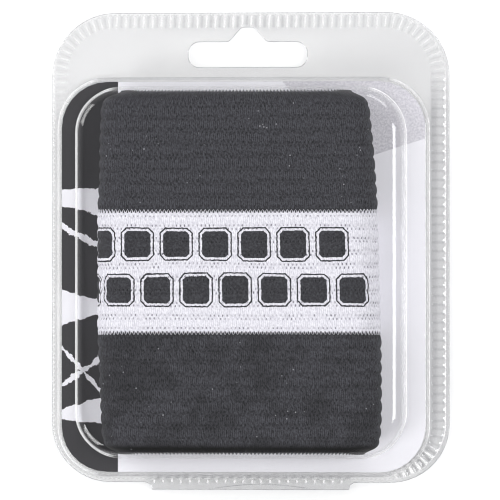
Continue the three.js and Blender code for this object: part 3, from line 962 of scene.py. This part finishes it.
def selvage_shade(paint, place, colour):
    """The black bands' colour with painted shade: darker where their outer edges curl under, and patchy lower
    down.
    """
    _, y = paint.plan(place)
    patches = paint.smooth(paint.noise(place, 95.0, 4.0, 0.7), 0.4, 0.62, 0.0, PATCH_DEPTH)
    lower = paint.smooth(y, *LOWER_SHADE, 1.0, 0.0)
    shade = paint.times(lower, paint.plus(patches, PATCH_START))
    colour = paint.mix(shade, colour, BLACK)
    from_bottom = paint.minus(y, LOOP_BOTTOM)
    from_top = paint.minus(LOOP_TOP, y)
    # Painted shade: a dark line along each selvage where it curls under
    for away, depth in ((from_bottom, BOTTOM_CURL_SHADE), (from_top, TOP_CURL_SHADE)):
        fold = paint.times(paint.smooth(away, *CURL_SHADE_START), paint.smooth(away, *CURL_SHADE_END, depth, 0.0))
        colour = paint.mix(fold, colour, BLACK)
    return colour


SHEET_TINT = (0.99, 0.99, 0.99, 1.0)
SHEET_EDGE_TINT = (0.82, 0.82, 0.8282, 1.0)
STEEP_TINT = 0.12
HIGHLIGHT_STRENGTH = 0.76
GLOSS_FACING, GLOSS_GRAZING, GLOSS_RISE = 0.033, 0.5, 5.0


def clear_plastic(name):
    """Thin clear sheet: light goes straight through, more of it is lost where the sheet stands steep,
    and a soft gloss rises towards grazing angles. A grey attribute darkens it, partly with painted shade,
    and a milky white mixed in by attribute is a painted highlight."""
    paint = Paint(name)
    grey = paint.node("ShaderNodeAttribute", {}, output=2, attribute_name="grey")
    highlight = paint.node("ShaderNodeAttribute", {}, output=2, attribute_name="highlight")
    ripple = paint.noise(paint.place(), 70.0, 2.0, 0.4)
    bump = paint.node("ShaderNodeBump", {"Height": ripple, "Distance": 0.00025, "Strength": 0.35})
    facing = paint.node("ShaderNodeLayerWeight", {"Normal": bump}, output=1)
    steep = paint.smooth(facing, 0.3, 0.98, 0.0, STEEP_TINT)
    # Painted shade: the grey attribute greys the sheet on the bends, the teeth and the right side, and also
    # along cut edges, the tab and the flange by the slot
    tint = paint.mix(paint.math("MAXIMUM", steep, grey), SHEET_TINT, SHEET_EDGE_TINT)
    through = paint.node("ShaderNodeBsdfTransparent", {"Color": tint})
    gloss = paint.node("ShaderNodeBsdfGlossy", {"Color": WHITE, "Roughness": 0.06, "Normal": bump})
    mirrored = paint.math("POWER", facing, GLOSS_RISE)
    mirrored = paint.math("MULTIPLY_ADD", mirrored, GLOSS_GRAZING, GLOSS_FACING)
    sheet = paint.node("ShaderNodeMixShader", {0: mirrored, 1: through, 2: gloss})
    # Painted highlight: a milky white mixed in where the attribute asks, standing in for lamp glints and
    # reflections
    milky_highlight = paint.node("ShaderNodeBsdfDiffuse", {"Color": (0.95, 0.95, 0.95, 1.0)})
    highlight_weight = paint.times(highlight, HIGHLIGHT_STRENGTH)
    return paint.finish(paint.node("ShaderNodeMixShader", {0: highlight_weight, 1: sheet, 2: milky_highlight}))


# Lines on the card are y = slope * x + start in millimetres: slope, lower start, upper start, tear
CARD_PATCHES = (
    (0.05, 19.0, 60.0, 0.7),
    (-0.25, -23.0, -0.5, 0.9),
    (0.3, -27.0, -4.5, 0.8),
    (-0.1, -80.0, -50.0, 0.6),
)
CARD_NICKS = (
    (-0.5, -19.5, -17.8, 1.1),
    (0.7, -1.5, 0.2, 1.2),
    (-1.1, -82.0, -80.6, 1.3),
)
WEDGE_LINES = ((-1.15, 55.0), (0.32, 15.0))
PATCHES_RIGHT = -35.4
TEAR_SIZE = 3.0
LINE_BLUR = 0.1


def card_print(name):
    """Pale board with torn charcoal patches down its left margin and a grey wedge at its upper right."""
    paint = Paint(name)
    place = paint.place()
    x, y = paint.plan(place)
    torn = paint.times(paint.minus(paint.noise(place, 420.0, 4.0, 0.65), 0.5), TEAR_SIZE)
    fine = paint.noise(place, 2500.0, 2.0)

    def above(slope, start, tear=0.0):
        """1 above the line y = slope * x + start, torn by tear."""
        line = paint.minus(y, paint.math("MULTIPLY_ADD", x, slope, start))
        if tear:
            line = paint.math("MULTIPLY_ADD", torn, tear, line)
        return paint.smooth(line, -LINE_BLUR, LINE_BLUR)

    def between(slope, low, high, tear):
        """1 between two parallel lines."""
        return paint.minus(above(slope, low, tear), above(slope, high, -tear), clamp=True)

    wedge = paint.times(*[above(*line) for line in WEDGE_LINES])
    grain = paint.smooth(paint.noise(place, 1700.0, 2.0, 0.7), 0.35, 0.65)
    colour = paint.mix(wedge, paint.mix(fine, *BOARD), paint.mix(grain, *WEDGE))
    patches = paint.union([between(*patch) for patch in CARD_PATCHES])
    nicks = paint.union([between(*nick) for nick in CARD_NICKS])
    patches = paint.times(patches, paint.minus(1.0, nicks))
    patches = paint.times(patches, paint.math("LESS_THAN", x, PATCHES_RIGHT))
    colour = paint.mix(patches, colour, CHARCOAL)
    shader = paint.node("ShaderNodeBsdfPrincipled", {
        "Base Color": colour, "Roughness": 0.55, "Specular IOR Level": 0.3,
        "Normal": paint.node("ShaderNodeBump", {"Height": fine, "Distance": 0.00003, "Strength": 0.5}),
    })
    return paint.finish(shader)


# The pieces

black_knit = elastic("black_elastic", BLACK_YARN, hole_share=0.75, lint=0.5)
white_knit = elastic("white_elastic", WHITE_YARN, ink=INK, ribs_high=RIBS + 2 * CENTRE_LIP)
# Node, its material and slot, lip, lower and upper teeth, and where its ribs start to wander
BANDS = (
    ("lower_band", black_knit, "elastic_black", OUTER_LIP, SELVAGE_TOOTH, BORDER_TOOTH, 1),
    ("centre_band", white_knit, "elastic_white", CENTRE_LIP, BORDER_TOOTH, BORDER_TOOTH, 2),
    ("upper_band", black_knit, "elastic_black", OUTER_LIP, BORDER_TOOTH, SELVAGE_TOOTH, 3),
)
for node, knit, slot, *shape in BANDS:
    piece = knitted_band("knit_" + node, node, *shape)
    piece.data.materials.append(knit)
    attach(piece, BODY)
    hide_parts(node)
    low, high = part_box(node)

plastic = clear_plastic("clear_sheet")
for node, piece in (("front_shell", clear_front()), ("back_shell", clear_back())):
    piece.data.materials.append(plastic)
    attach(piece, BODY)
    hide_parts(node)

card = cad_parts["insert_card"]
card.data.materials.clear()
card.data.materials.append(card_print("card_print"))


# Floor, lights and camera

FLOOR_REACH, FLOOR_LEVEL = 3.0, -0.0004
FLOOR_COLOUR = (0.92, 0.92, 0.92, 1.0)
LAMP_DISTANCE = 0.9
# Name, azimuth, degrees off the zenith, width, length and radiance
LAMPS = (
    ("right_box", 0, 36, 0.34, 0.44, 8.5),
    ("upper_right_box", 60, 52, 0.4, 0.4, 4.0),
    ("upper_left_box", 150, 58, 0.4, 0.5, 5.6),
    ("lower_left_box", 220, 50, 0.4, 0.5, 7.0),
)
HORIZON, ZENITH, LOWER_SIDE = 0.5, 0.22, 0.3
CAMERA_TARGET = (-0.13, 0.27, 0.65)  # millimetres
CAMERA_PLACE = (0.052, -0.012, 0.99865)  # metres from the target


def floor():
    """Pale floor just under the pack."""
    mesh = bpy.data.meshes.new("floor")
    far = FLOOR_REACH
    corners = [(x, y, FLOOR_LEVEL) for x, y in ((-far, -far), (far, -far), (far, far), (-far, far))]
    mesh.from_pydata(corners, [], [(0, 1, 2, 3)])
    piece = bpy.data.objects.new("floor", mesh)
    scene.collection.objects.link(piece)
    paint = Paint("pale_floor")
    shader = paint.node("ShaderNodeBsdfPrincipled", {"Base Color": FLOOR_COLOUR, "Roughness": 0.9})
    mesh.materials.append(paint.finish(shader))


def softbox(name, azimuth, tilt, width, length, radiance):
    """An area light at tilt degrees off the zenith, length along its tilt and width across it."""
    data = bpy.data.lights.new(name, "AREA")
    data.shape = "RECTANGLE"
    data.size, data.size_y = width, length
    data.energy = radiance * math.pi * width * length
    lamp = bpy.data.objects.new(name, data)
    out, up = math.sin(math.radians(tilt)), math.cos(math.radians(tilt))
    turn = math.radians(azimuth)
    place = Vector((out * math.cos(turn), out * math.sin(turn), up)) * LAMP_DISTANCE
    lamp.location = place
    lamp.rotation_euler = (-place).to_track_quat("-Z", "Y").to_euler()
    scene.collection.objects.link(lamp)


def studio_world():
    """Plain white surroundings, bright round the horizon, dim overhead and dimmer towards -Y."""
    world = bpy.data.worlds.new("studio")
    scene.world = world
    world.use_nodes = True
    nodes, links = world.node_tree.nodes, world.node_tree.links
    direction = nodes.new("ShaderNodeSeparateXYZ")
    links.new(nodes.new("ShaderNodeTexCoord").outputs["Generated"], direction.inputs[0])

    def ramp(axis, low, high, start, end):
        """Start below low along an axis, end above high, smooth between them."""
        made = nodes.new("ShaderNodeMapRange")
        made.interpolation_type = "SMOOTHSTEP"
        for key, value in enumerate((low, high, start, end), 1):
            made.inputs[key].default_value = value
        links.new(direction.outputs[axis], made.inputs[0])
        return made.outputs[0]

    strength = nodes.new("ShaderNodeMath")
    strength.operation = "MULTIPLY"
    links.new(ramp(2, 0.35, 0.96, HORIZON, ZENITH), strength.inputs[0])
    links.new(ramp(1, -0.75, -0.1, LOWER_SIDE, 1.0), strength.inputs[1])
    background = nodes["Background"]
    background.inputs[0].default_value = (0.97, 0.98, 1.0, 1.0)
    links.new(strength.outputs[0], background.inputs[1])


floor()
for lamp in LAMPS:
    softbox(*lamp)
studio_world()

lens = bpy.data.cameras.new("camera")
lens.sensor_fit = "HORIZONTAL"
lens.sensor_width = 36.0
lens.lens = 270.0
lens.clip_start = 0.05
lens.clip_end = 10.0
camera = bpy.data.objects.new("camera", lens)
scene.collection.objects.link(camera)
target = Vector(CAMERA_TARGET) * MM
camera.location = target + Vector(CAMERA_PLACE)
backward = (camera.location - target).normalized()
rightward = Vector((0, 1, 0)).cross(backward).normalized()
upward = backward.cross(rightward)
camera.rotation_euler = Matrix((rightward, upward, backward)).transposed().to_euler()
scene.camera = camera
scene.cycles.transparent_max_bounces = 24
scene.cycles.filter_width = 1.0
scene.view_settings.view_transform = "Standard"
